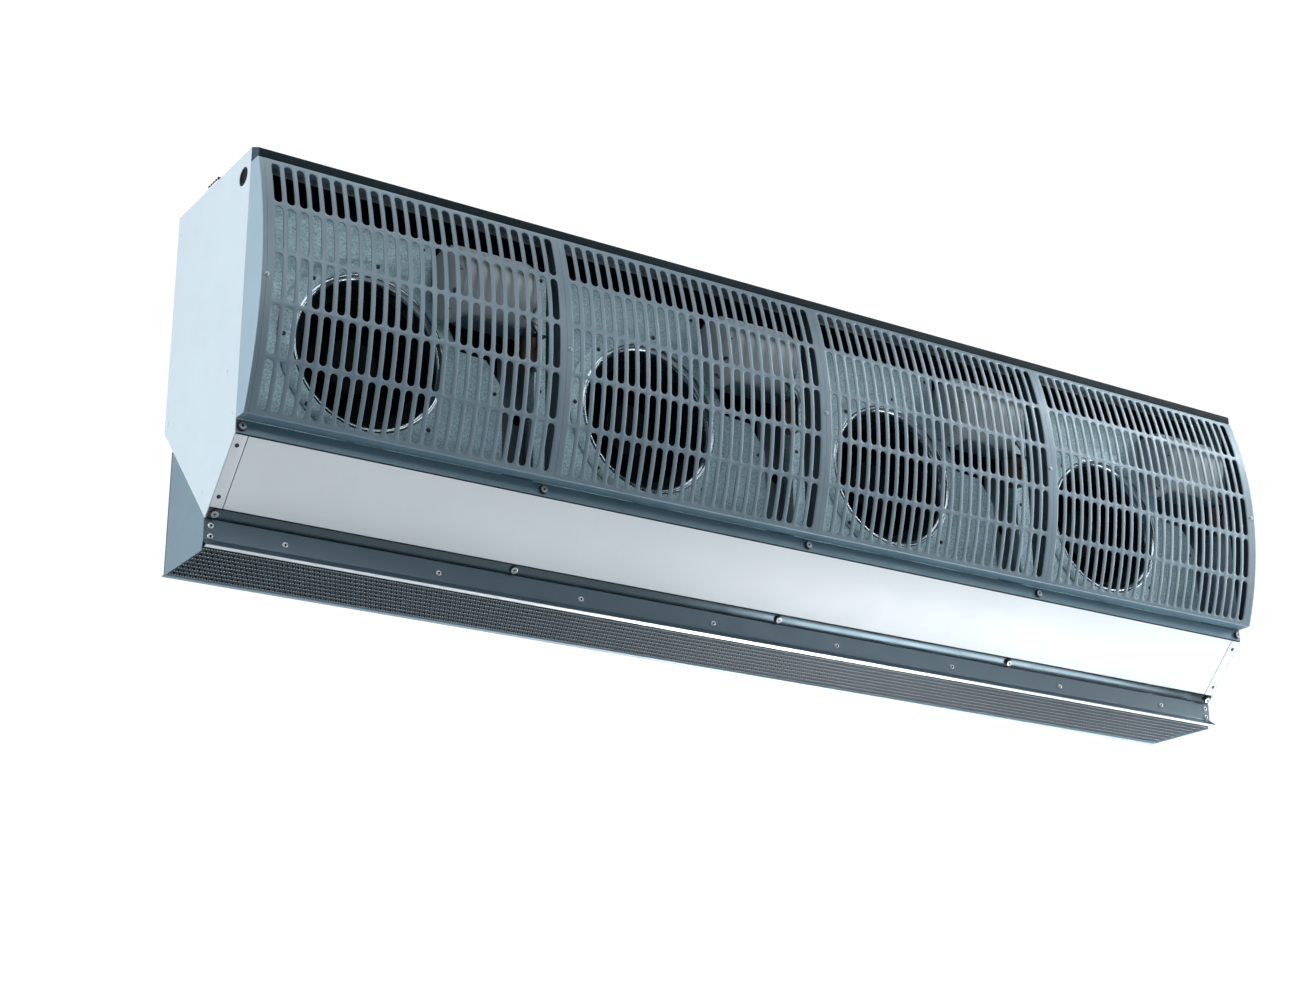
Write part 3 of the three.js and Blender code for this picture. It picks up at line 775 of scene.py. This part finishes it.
# ------------------------------------------------------------------ nozzle
b = Build()
path = [(-182.4, 46.4), (-182.05, 17.5)]
turn(path, (-184.4, 16.9), 10, -35.0, 4, 2.4)
path = [(-182.4, 46.4), (-182.05, 18.0), (-182.3, 16.2), (-183.2, 14.6), (-184.6, 13.4), (-195.2, 5.75)]
path += [(-196.3, 4.95), (-196.75, 4.35), (-196.4, 3.95), (-195.4, 3.75)]
path += [(-191.0, 3.1), (-187.5, 2.6)]
outer = path
b2 = [(-187.4, 4.0), (-189.5, 4.4), (-192.4, 5.3), (-183.6, 11.9), (-181.6, 13.6), (-180.9, 15.4), (-180.75, 17.6), (-180.9, 46.4)]
prism(b, "X", outer + b2, 0.0, L, NOZZLE)
lip_i = b.mi(LIP)
in_i = b.mi(NOZZLE_IN)
for i, f in enumerate(b.f):
    ys = [b.v[j][1] for j in f]
    zs = [b.v[j][2] for j in f]
    if len(f) == 4 and max(zs) < 4.5 and max(ys) < -187.0 and sum(zs) / 4 < 4.0:
        b.m[i] = lip_i
    elif len(f) == 4 and min(zs) > 4.1 and min(ys) > -192.6 and max(ys) > -181.0:
        b.m[i] = in_i
for i in range(8):
    rivet(b, (125 + 250 * i, -182.2, 28.3), (0, -1, 0))
for x in (10.0, L - 10.0):
    for z in (37.0, 21.0):
        rivet(b, (x, -182.25, z), (0, -1, 0))
b.piece("nozzle_lip", ("nozzle_front",))

b = Build()
path = [(-30.0, 0.0)]
turn(path, (-37.2, 1.45), -90, -180, 4, 1.45)
path.append((-38.65, 191.9))
sheet(b, "X", path, -SH, 0.0, L, NOZZLE_SIDE, NOZZLE_IN)
b.piece("nozzle_rear", ("nozzle_back",))
ends = [(-40.45, 0.2), (-40.45, 191.5), (-180.6, 48.1), (-180.1, 14.6), (-177.3, 3.0), (-177.3, 0.2)]
for side, a0, a1 in (("left", 0.0, 1.5), ("right", L - 1.5, L)):
    b = Build()
    prism(b, "X", ends, a0, a1, NOZZLE_SIDE, 0.25, 1)
    b.piece(f"nozzle_cheek_{side}", (f"nozzle_end_{side}",))


# flow straightener: long strips with a folded foil between each pair
def foil(b, path, t, z0, z1, mat, edge_mat):
    """A thin upright strip along an open path in plan; its lower edge takes edge_mat, which here is the near-black
    painted shade of the strips.
    """
    n = len(path)
    left, right = [], []
    for i in range(n):
        a = Vector(path[max(0, i - 1)])
        c = Vector(path[min(n - 1, i + 1)])
        d = (c - a).normalized()
        if 0 < i < n - 1:
            d1 = (Vector(path[i]) - a).normalized()
            d2 = (c - Vector(path[i])).normalized()
            n1, n2 = Vector((-d1.y, d1.x)), Vector((-d2.y, d2.x))
            den = max(0.35, 1 + n1.dot(n2))
            off = (n1 + n2) / den
            if off.length > 2.5:
                off = off.normalized() * 2.5
        else:
            off = Vector((-d.y, d.x))
        left.append(Vector(path[i]) + off * t / 2)
        right.append(Vector(path[i]) - off * t / 2)
    verts = []
    for l, r in zip(left, right):
        verts += [(l.x, l.y, z0), (r.x, r.y, z0), (r.x, r.y, z1), (l.x, l.y, z1)]
    side_f, edge_f = [], []
    for i in range(n - 1):
        a, c = 4 * i, 4 * (i + 1)
        edge_f.append([a, a + 1, c + 1, c])
        side_f.append([a + 1, a + 2, c + 2, c + 1])
        side_f.append([a + 2, a + 3, c + 3, c + 2])
        side_f.append([a + 3, a, c, c + 3])
    side_f += [[0, 3, 2, 1], [4 * n - 4, 4 * n - 3, 4 * n - 2, 4 * n - 1]]
    base, km, ke = len(b.v), b.mi(mat), b.mi(edge_mat)
    b.v += verts
    b.f += [[i + base for i in f] for f in side_f + edge_f]
    b.m += [km] * len(side_f) + [ke] * len(edge_f)


b = Build()
Y0, Y1, ROWS_N = -177.0, -40.9, 8
ROW = (Y1 - Y0) / ROWS_N
for j in range(ROWS_N + 1):
    y = Y0 + ROW * j
    # row strips in the near-black colour that paints the shade in the cells
    foil(b, [(2.2, y), (L - 2.2, y)], 0.5, 3.2, 19.8, GRID_ROW_SHADE, GRID_ROW_SHADE)
FOLD = 8.4
LAND = FOLD * 0.2
for j in range(ROWS_N):
    ya, yb = Y0 + ROW * j + 0.6, Y0 + ROW * (j + 1) - 0.6
    pts, x, up = [], 3.0, True
    while x < L - 3.0 - LAND:
        pts += [(x, ya if up else yb), (x + LAND, ya if up else yb)]
        x += FOLD / 2
        up = not up
    foil(b, pts, 0.35, 3.4, 19.6, GRID, GRID_ROW_SHADE)
# the joint at each fold, where foil and strip are pressed together; its near-white colour is a painted highlight for
# the glints on the joints
for j in range(ROWS_N + 1):
    y = Y0 + ROW * j
    ya = y - (0.3 if j == 0 else 0.65)
    yb = y + (0.3 if j == ROWS_N else 0.65)
    x = 3.0 + LAND / 2
    while x < L - 4.2:
        cuboid(b, x - 0.95, x + 0.95, ya, yb, 3.0, 3.7, GRID_GLINT)
        x += FOLD / 2
b.piece("flow_straightener", ("outlet_grid",), angle=30.0)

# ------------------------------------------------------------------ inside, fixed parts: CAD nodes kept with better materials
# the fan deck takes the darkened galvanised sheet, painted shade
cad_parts["fan_deck"].data.materials.clear()
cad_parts["fan_deck"].data.materials.append(GALV_SHADED)

# crescent ribs behind the panel seams, hung on a bar
b = Build()
cuboid(b, 4.5, L - 4.5, -250.0, -248.5, 573.0, 583.0, BAR, 0.3)
front = [bow(-BOW_END + 2.5)[0]]
for i in range(49):
    q = -S_BEND + 2 * S_BEND * i / 48
    (y, z), (ny, nz) = bow(q)
    front.append((y - ny * 2.3, z - nz * 2.3))
front[0] = (-272.4, front[1][1])
front += [(-272.4, front[-1][1]), (-272.4, 583.6), (-248.9, 583.6), (-248.9, 562.0), (-272.4, 545.0)]
for k in range(1, 4):
    prism(b, "X", front, 8.0 + 496.0 * k - 0.75, 8.0 + 496.0 * k + 0.75, RIB, 0.2, 1)
b.piece("seam_ribs", ("rib_frame",))

b = Build()
prof = [(9.5, -0.2), (11.0, -0.35), (14.6, -0.2), (14.6, 1.8), (17.8, 1.8), (17.8, 3.9), (10.0, 4.0), (9.2, 2.0)]
prof = [(10.0, 0.3), (11.2, 0.0), (14.4, 0.0), (14.4, 1.8), (17.6, 1.8), (17.9, 2.4), (17.9, 3.7), (17.3, 4.2), (10.6, 4.2), (10.0, 3.8)]
lathe(b, prof, 40, (0.0, -249.3, 557.0), (1, 0, 0), RUBBER)
# the grommet's hole is a near-black disc: painted shade
prism(b, "X", [(-249.3 + 10.6 * math.cos(2 * math.pi * i / 24), 557.0 + 10.6 * math.sin(2 * math.pi * i / 24)) for i in range(24)], 2.0, 3.4, LINING_AND_HOLE_SHADE)
b.piece("grommet", ("cable_grommet",))

for side in ("left", "right"):
    b = Build()
    fx = (lambda x: x) if side == "left" else (lambda x: L - x)
    xs = sorted((fx(4.3), fx(33.7)))
    cuboid(b, xs[0], xs[1], -137.7, -96.3, 594.3, 599.6, FOOT, 0.6)
    cuboid(b, xs[0], xs[1], -137.7, -96.3, 599.8, 602.6, FOOT, 0.4)
    for i in range(5):
        y = -137.0 + 8.6 * i
        prism(b, "Z", [(fx(x), yy) for x, yy in ((5.0, y), (33.0, y), (33.0, y + 3.4), (5.0, y + 3.4))], 602.4, 608.0, RUBBER, 0.5, 2)
    b.piece(f"hang_pad_{side}", (f"hanger_{side}",))


# ------------------------------------------------------------------ fan units
def ray_out(poly, c, t):
    """Distance from c to the polygon along angle t."""
    d = Vector((math.cos(t), math.sin(t)))
    best = None
    for i in range(len(poly)):
        a, e = Vector(poly[i]) - Vector(c), Vector(poly[(i + 1) % len(poly)]) - Vector(poly[i])
        den = d.x * e.y - d.y * e.x
        if abs(den) < 1e-12:
            continue
        r = (a.x * e.y - a.y * e.x) / den
        u = (a.x * d.y - a.y * d.x) / den
        if r > 0 and -1e-9 <= u <= 1 + 1e-9 and (best is None or r < best):
            best = r
    return best


def plate_with_hole(b, poly, c, r, y0, y1, mat, n=96):
    angles = sorted({round(2 * math.pi * i / n, 9) for i in range(n)}
                    | {round(math.atan2(p[1] - c[1], p[0] - c[0]) % (2 * math.pi), 9) for p in poly})
    m = len(angles)
    verts = []
    for y in (y0, y1):
        for t in angles:
            verts.append((c[0] + r * math.cos(t), y, c[1] + r * math.sin(t)))
        for t in angles:
            q = ray_out(poly, c, t)
            verts.append((c[0] + q * math.cos(t), y, c[1] + q * math.sin(t)))
    faces = []
    for i in range(m):
        j = (i + 1) % m
        faces.append([i, j, m + j, m + i])
        faces.append([2 * m + i, 3 * m + i, 3 * m + j, 2 * m + j])
        faces.append([i, 2 * m + i, 2 * m + j, j])
        faces.append([m + i, m + j, 3 * m + j, 3 * m + i])
    b.add(verts, faces, mat)


def spiral_r(deg):
    return 122.0 + 64.0 * ((deg + 75.0) / 255.0) ** 2.6


for k in range(4):
    dx = PITCH * k
    cx = FAN_X + dx
    i = k + 1

    # front plate with its screws
    b = Build()
    poly = [(5, 152.6), (444, 152.6), (444, 318), (414, 360), (345, 366), (345, 404), (316, 404), (316, 531), (5, 531)]
    poly = [(x + dx, z) for x, z in poly]
    plate_with_hole(b, poly, (cx, FAN_Z), 124.0, PLATE_Y, PLATE_Y + SH, GALV)
    for x, z in ((120.0, 424.5), (317.5, 225.0), (119.5, 224.5), (224.0, 469.0), (77.0, 326.0), (216.6, 184.5)):
        screw(b, (x + dx, PLATE_Y - 1.8 if math.hypot(x - FAN_X, z - FAN_Z) < 146 else PLATE_Y, z), (0, -1, 0), 3.6, 1.6, DARK_SCREW_AND_SHADE)
    for x, z in ((14.0, 518.0), (300.0, 518.0), (14.0, 330.0), (430.0, 170.0), (430.0, 308.0), (14.0, 170.0)):
        screw(b, (x + dx, PLATE_Y, z), (0, -1, 0), 3.2, 1.4, DARK_SCREW_AND_SHADE)
    b.piece(f"plate_{i}", (f"fan_plate_{i}",))

    # inlet ring: flange, rolled lip and bell
    b = Build()
    lathe(b, [(121.6, -0.3), (149.0, -0.3), (149.0, -1.7), (148.8, -1.8), (126.0, -1.8)], 96, (cx, PLATE_Y, FAN_Z), (0, 1, 0), GALV, closed=False)
    prof = [(126.0, -1.8), (124.4, -2.3), (122.6, -2.5), (121.0, -2.1), (119.6, -1.1)]
    for j in range(1, 10):
        t = j / 9
        prof.append((119.6 - 11.6 * t ** 0.72, -1.1 + 26.1 * t ** 1.25))
    prof += [(109.4, 25.0)]
    for j in range(8, 0, -1):
        t = j / 9
        prof.append((121.0 - 11.6 * t ** 0.72, -0.6 + 25.6 * t ** 1.25))
    prof += [(121.6, -0.3)]
    lathe(b, prof, 96, (cx, PLATE_Y, FAN_Z), (0, 1, 0), RING, closed=False)
    ob = b.piece(f"bell_{i}", (f"inlet_ring_{i}",), angle=50.0)

    # scroll
    b = Build()
    path = [(cx + spiral_r(-75) * math.cos(math.radians(-75)), DECK_Z + 0.3)]
    for j in range(52):
        d = -75 + 5 * j
        path.append((cx + spiral_r(d) * math.cos(math.radians(d)), FAN_Z + spiral_r(d) * math.sin(math.radians(d))))
    path.append((path[-1][0], DECK_Z + 0.3))
    sheet(b, "Y", path, -1.2, PLATE_Y + SH + 0.3, -111.5, GALV_SHADED, GALV_SHADED)
    front, rear = ribbon(path, -1.2)
    prism(b, "Y", rear, -113.0, -111.5, GALV_SHADED)
    b.piece(f"volute_{i}", (f"scroll_{i}",))

    # wheel
    b = Build()
    c0 = (cx, 0.0, FAN_Z)
    hub = [(0.0, -185.0), (40.0, -185.0), (43.6, -184.2), (45.0, -182.0), (45.0, -128.5), (112.0, -128.5), (112.0, -127.0),
           (40.0, -127.0), (40.0, -181.0), (5.0, -181.0), (5.0, -125.0), (0.0, -125.0)]
    lathe(b, hub, 72, c0, (0, 1, 0), WHEEL_SHADED, closed=False)
    lathe(b, [(97.0, -210.5), (112.0, -210.5), (112.0, -208.9), (97.0, -208.9)], 72, c0, (0, 1, 0), WHEEL_SHADED)
    for j in range(40):
        t0 = 2 * math.pi * j / 40
        pts = []
        for q in range(6):
            u = q / 5
            rr = 94.0 + 17.0 * u
            a = t0 + 0.16 * u * u - 0.02
            pts.append((cx + rr * math.cos(a), FAN_Z + rr * math.sin(a)))
        f_, r_ = ribbon(pts, 0.9)
        prism(b, "Y", f_ + r_[::-1], -209.6, -127.9, WHEEL_SHADED)
    b.piece(f"wheel_{i}", (f"impeller_{i}",), body=f"rotor_{i}", angle=40.0)

    # hub motor
    b = Build()
    prof = [(0.0, -113.3), (50.0, -113.3), (52.0, -114.5), (52.0, -118.5), (50.5, -120.0), (36.0, -120.0), (34.0, -122.0), (34.0, -176.5),
            (32.5, -178.0), (5.3, -178.0), (5.3, -123.0), (0.0, -123.0)]
    lathe(b, prof, 64, c0, (0, 1, 0), MOTOR_SHADED, closed=False)
    b.piece(f"stator_{i}", (f"fan_motor_{i}",))

    # side cylinder
    b = Build()
    cyl = (dx, -262.0, 465.0)
    prof = [(0.0, 318.0), (30.0, 318.0), (40.0, 319.0), (50.0, 322.5), (56.0, 327.5), (58.6, 333.0), (59.0, 337.0), (58.2, 338.4), (58.2, 340.2), (59.0, 341.5),
            (59.0, 448.5), (58.2, 449.8), (58.2, 451.6), (59.0, 453.0), (58.6, 457.0), (56.0, 462.5), (50.0, 467.5), (40.0, 471.0), (30.0, 472.0), (0.0, 472.0)]
    lathe(b, prof, 72, cyl, (1, 0, 0), CAN, closed=False)
    for h0, sgn in ((326.4, 1), (463.6, -1)):
        for j in range(10):
            a = 2 * math.pi * j / 10
            # vents follow the shoulder of the end bell
            n = Vector((-0.64 * sgn, 0.768 * math.cos(a), 0.768 * math.sin(a)))
            o = Vector((h0 + dx, -262.0 + 54.3 * math.cos(a), 465.0 + 54.3 * math.sin(a)))
            lathe(b, [(0.0, -0.6), (5.2, -0.6), (5.2, 0.5), (0.0, 0.5)], 20, o, n, VENT, closed=False)
    b.piece(f"side_can_{i}", (f"can_{i}",))

    # bracket, with the leads it carries
    b = Build()
    cuboid(b, 496.8 + dx, 498.3 + dx, -249.5, -215, 152.6, 531, GALV, 0.3)
    web = [(446 + dx, 152.6), (498 + dx, 152.6), (498 + dx, 385), (446 + dx, 385)]
    # web and shelf in the dark teal painted shade of the recess
    plate_with_hole(b, web, (481.5 + dx, 282.5), 8.5, -223.5, -222.0, RECESS_SHADE, 48)
    cuboid(b, 352 + dx, 498 + dx, -287, -245.8, 404.2, 405.7, RECESS_SHADE, 0.4)
    tube(b, [(452 + dx, -300, 425), (470 + dx, -300, 414), (482 + dx, -292, 408), (488 + dx, -280, 392), (484 + dx, -262, 398)], 1.6, WIRE_B)
    tube(b, [(440 + dx, -306, 423), (458 + dx, -306, 408), (474 + dx, -298, 396), (478 + dx, -285, 380), (480 + dx, -260, 396)], 1.6, WIRE_A)
    tube(b, [(327 + dx, -246.5, 527), (338 + dx, -249.5, 505), (352 + dx, -252, 485)], 3.2, WIRE_A)
    b.piece(f"stay_{i}", (f"bracket_{i}",))

    b = Build()
    prof = [(0.0, 353.0), (13.5, 353.0), (15.4, 353.8), (16.0, 355.6), (16.0, 398.0), (16.0, 401.4), (15.2, 402.6), (10.0, 403.0), (0.0, 403.0)]
    lathe(b, prof, 40, (480 + dx, -266, 0), (0, 0, 1), BROWN, closed=False)
    cuboid(b, 474.5 + dx, 476 + dx, -269, -263, 402.5, 403.9, ZINC)
    cuboid(b, 484 + dx, 485.5 + dx, -269, -263, 402.5, 403.9, ZINC)
    b.piece(f"cap_can_{i}", (f"capacitor_{i}",))

# ------------------------------------------------------------------ studio
b = Build()
me = bpy.data.meshes.new("floor")
me.from_pydata([(-14, -14, -2.3), (14, -14, -2.3), (14, 14, -2.3), (-14, 14, -2.3)], [], [[0, 1, 2, 3]])
floor = bpy.data.objects.new("floor", me)
bpy.context.scene.collection.objects.link(floor)
me.materials.append(paint("floor_pale", (0.62, 0.64, 0.66), 0.7, var=0.01))

world = bpy.data.worlds.new("studio")
bpy.context.scene.world = world
world.use_nodes = True
wt = world.node_tree
wt.nodes.clear()
out = wt.nodes.new("ShaderNodeOutputWorld")
lit = wt.nodes.new("ShaderNodeBackground")
lit.inputs["Color"].default_value = (0.84, 0.93, 1.0, 1.0)
lit.inputs["Strength"].default_value = 0.02
seen = wt.nodes.new("ShaderNodeBackground")
seen.inputs["Color"].default_value = (1.0, 1.0, 1.0, 1.0)
seen.inputs["Strength"].default_value = 1.05
path_n = wt.nodes.new("ShaderNodeLightPath")
mx = wt.nodes.new("ShaderNodeMixShader")
wt.links.new(path_n.outputs["Is Camera Ray"], mx.inputs["Fac"])
wt.links.new(lit.outputs["Background"], mx.inputs[1])
wt.links.new(seen.outputs["Background"], mx.inputs[2])
wt.links.new(mx.outputs["Shader"], out.inputs["Surface"])


def area(name, at, to, size, power, col=(1, 1, 1)):
    ld = bpy.data.lights.new(name, "AREA")
    ld.shape = "RECTANGLE"
    ld.size, ld.size_y = size
    ld.energy = power
    ld.color = col
    ob = bpy.data.objects.new(name, ld)
    ob.location = at
    ob.rotation_euler = (Vector(to) - Vector(at)).to_track_quat("-Z", "Y").to_euler()
    bpy.context.scene.collection.objects.link(ob)
    ob.visible_camera = False


area("softbox_left", (-4.4, -0.3, 0.2), (-1.0, -0.15, 0.0), (2.4, 2.4), 156.0)
area("softbox_front", (0.1, -3.4, 1.9), (-0.1, -0.3, 0.0), (2.2, 1.2), 33.0)
area("softbox_front_right", (2.7, -3.3, 0.9), (0.7, -0.25, 0.0), (1.4, 1.2), 14.0)
area("softbox_right", (4.4, -1.6, 0.5), (0.6, -0.3, 0.0), (1.6, 1.6), 85.0)
area("softbox_right_high", (3.1, -1.5, 1.9), (0.6, -0.3, 0.0), (1.4, 1.2), 54.0)
area("softbox_top", (0.0, -1.2, 3.4), (0.0, -0.25, 0.0), (3.0, 1.5), 45.0)
area("strip_low", (2.5, -0.8, -2.05), (2.5, -0.6, -0.4), (2.6, 1.1), 64.0)
area("softbox_back", (0.6, 4.2, 2.2), (0.0, 0.0, 0.0), (3.0, 2.0), 150.0, (0.95, 0.98, 1.0))
area("softbox_low_back", (0.9, 0.7, -1.4), (1.0, -0.1, -0.41), (0.8, 0.6), 46.0)
area("softbox_floor", (0.8, 0.25, -2.2), (0.8, 0.24, 0.0), (2.4, 0.7), 6.0)
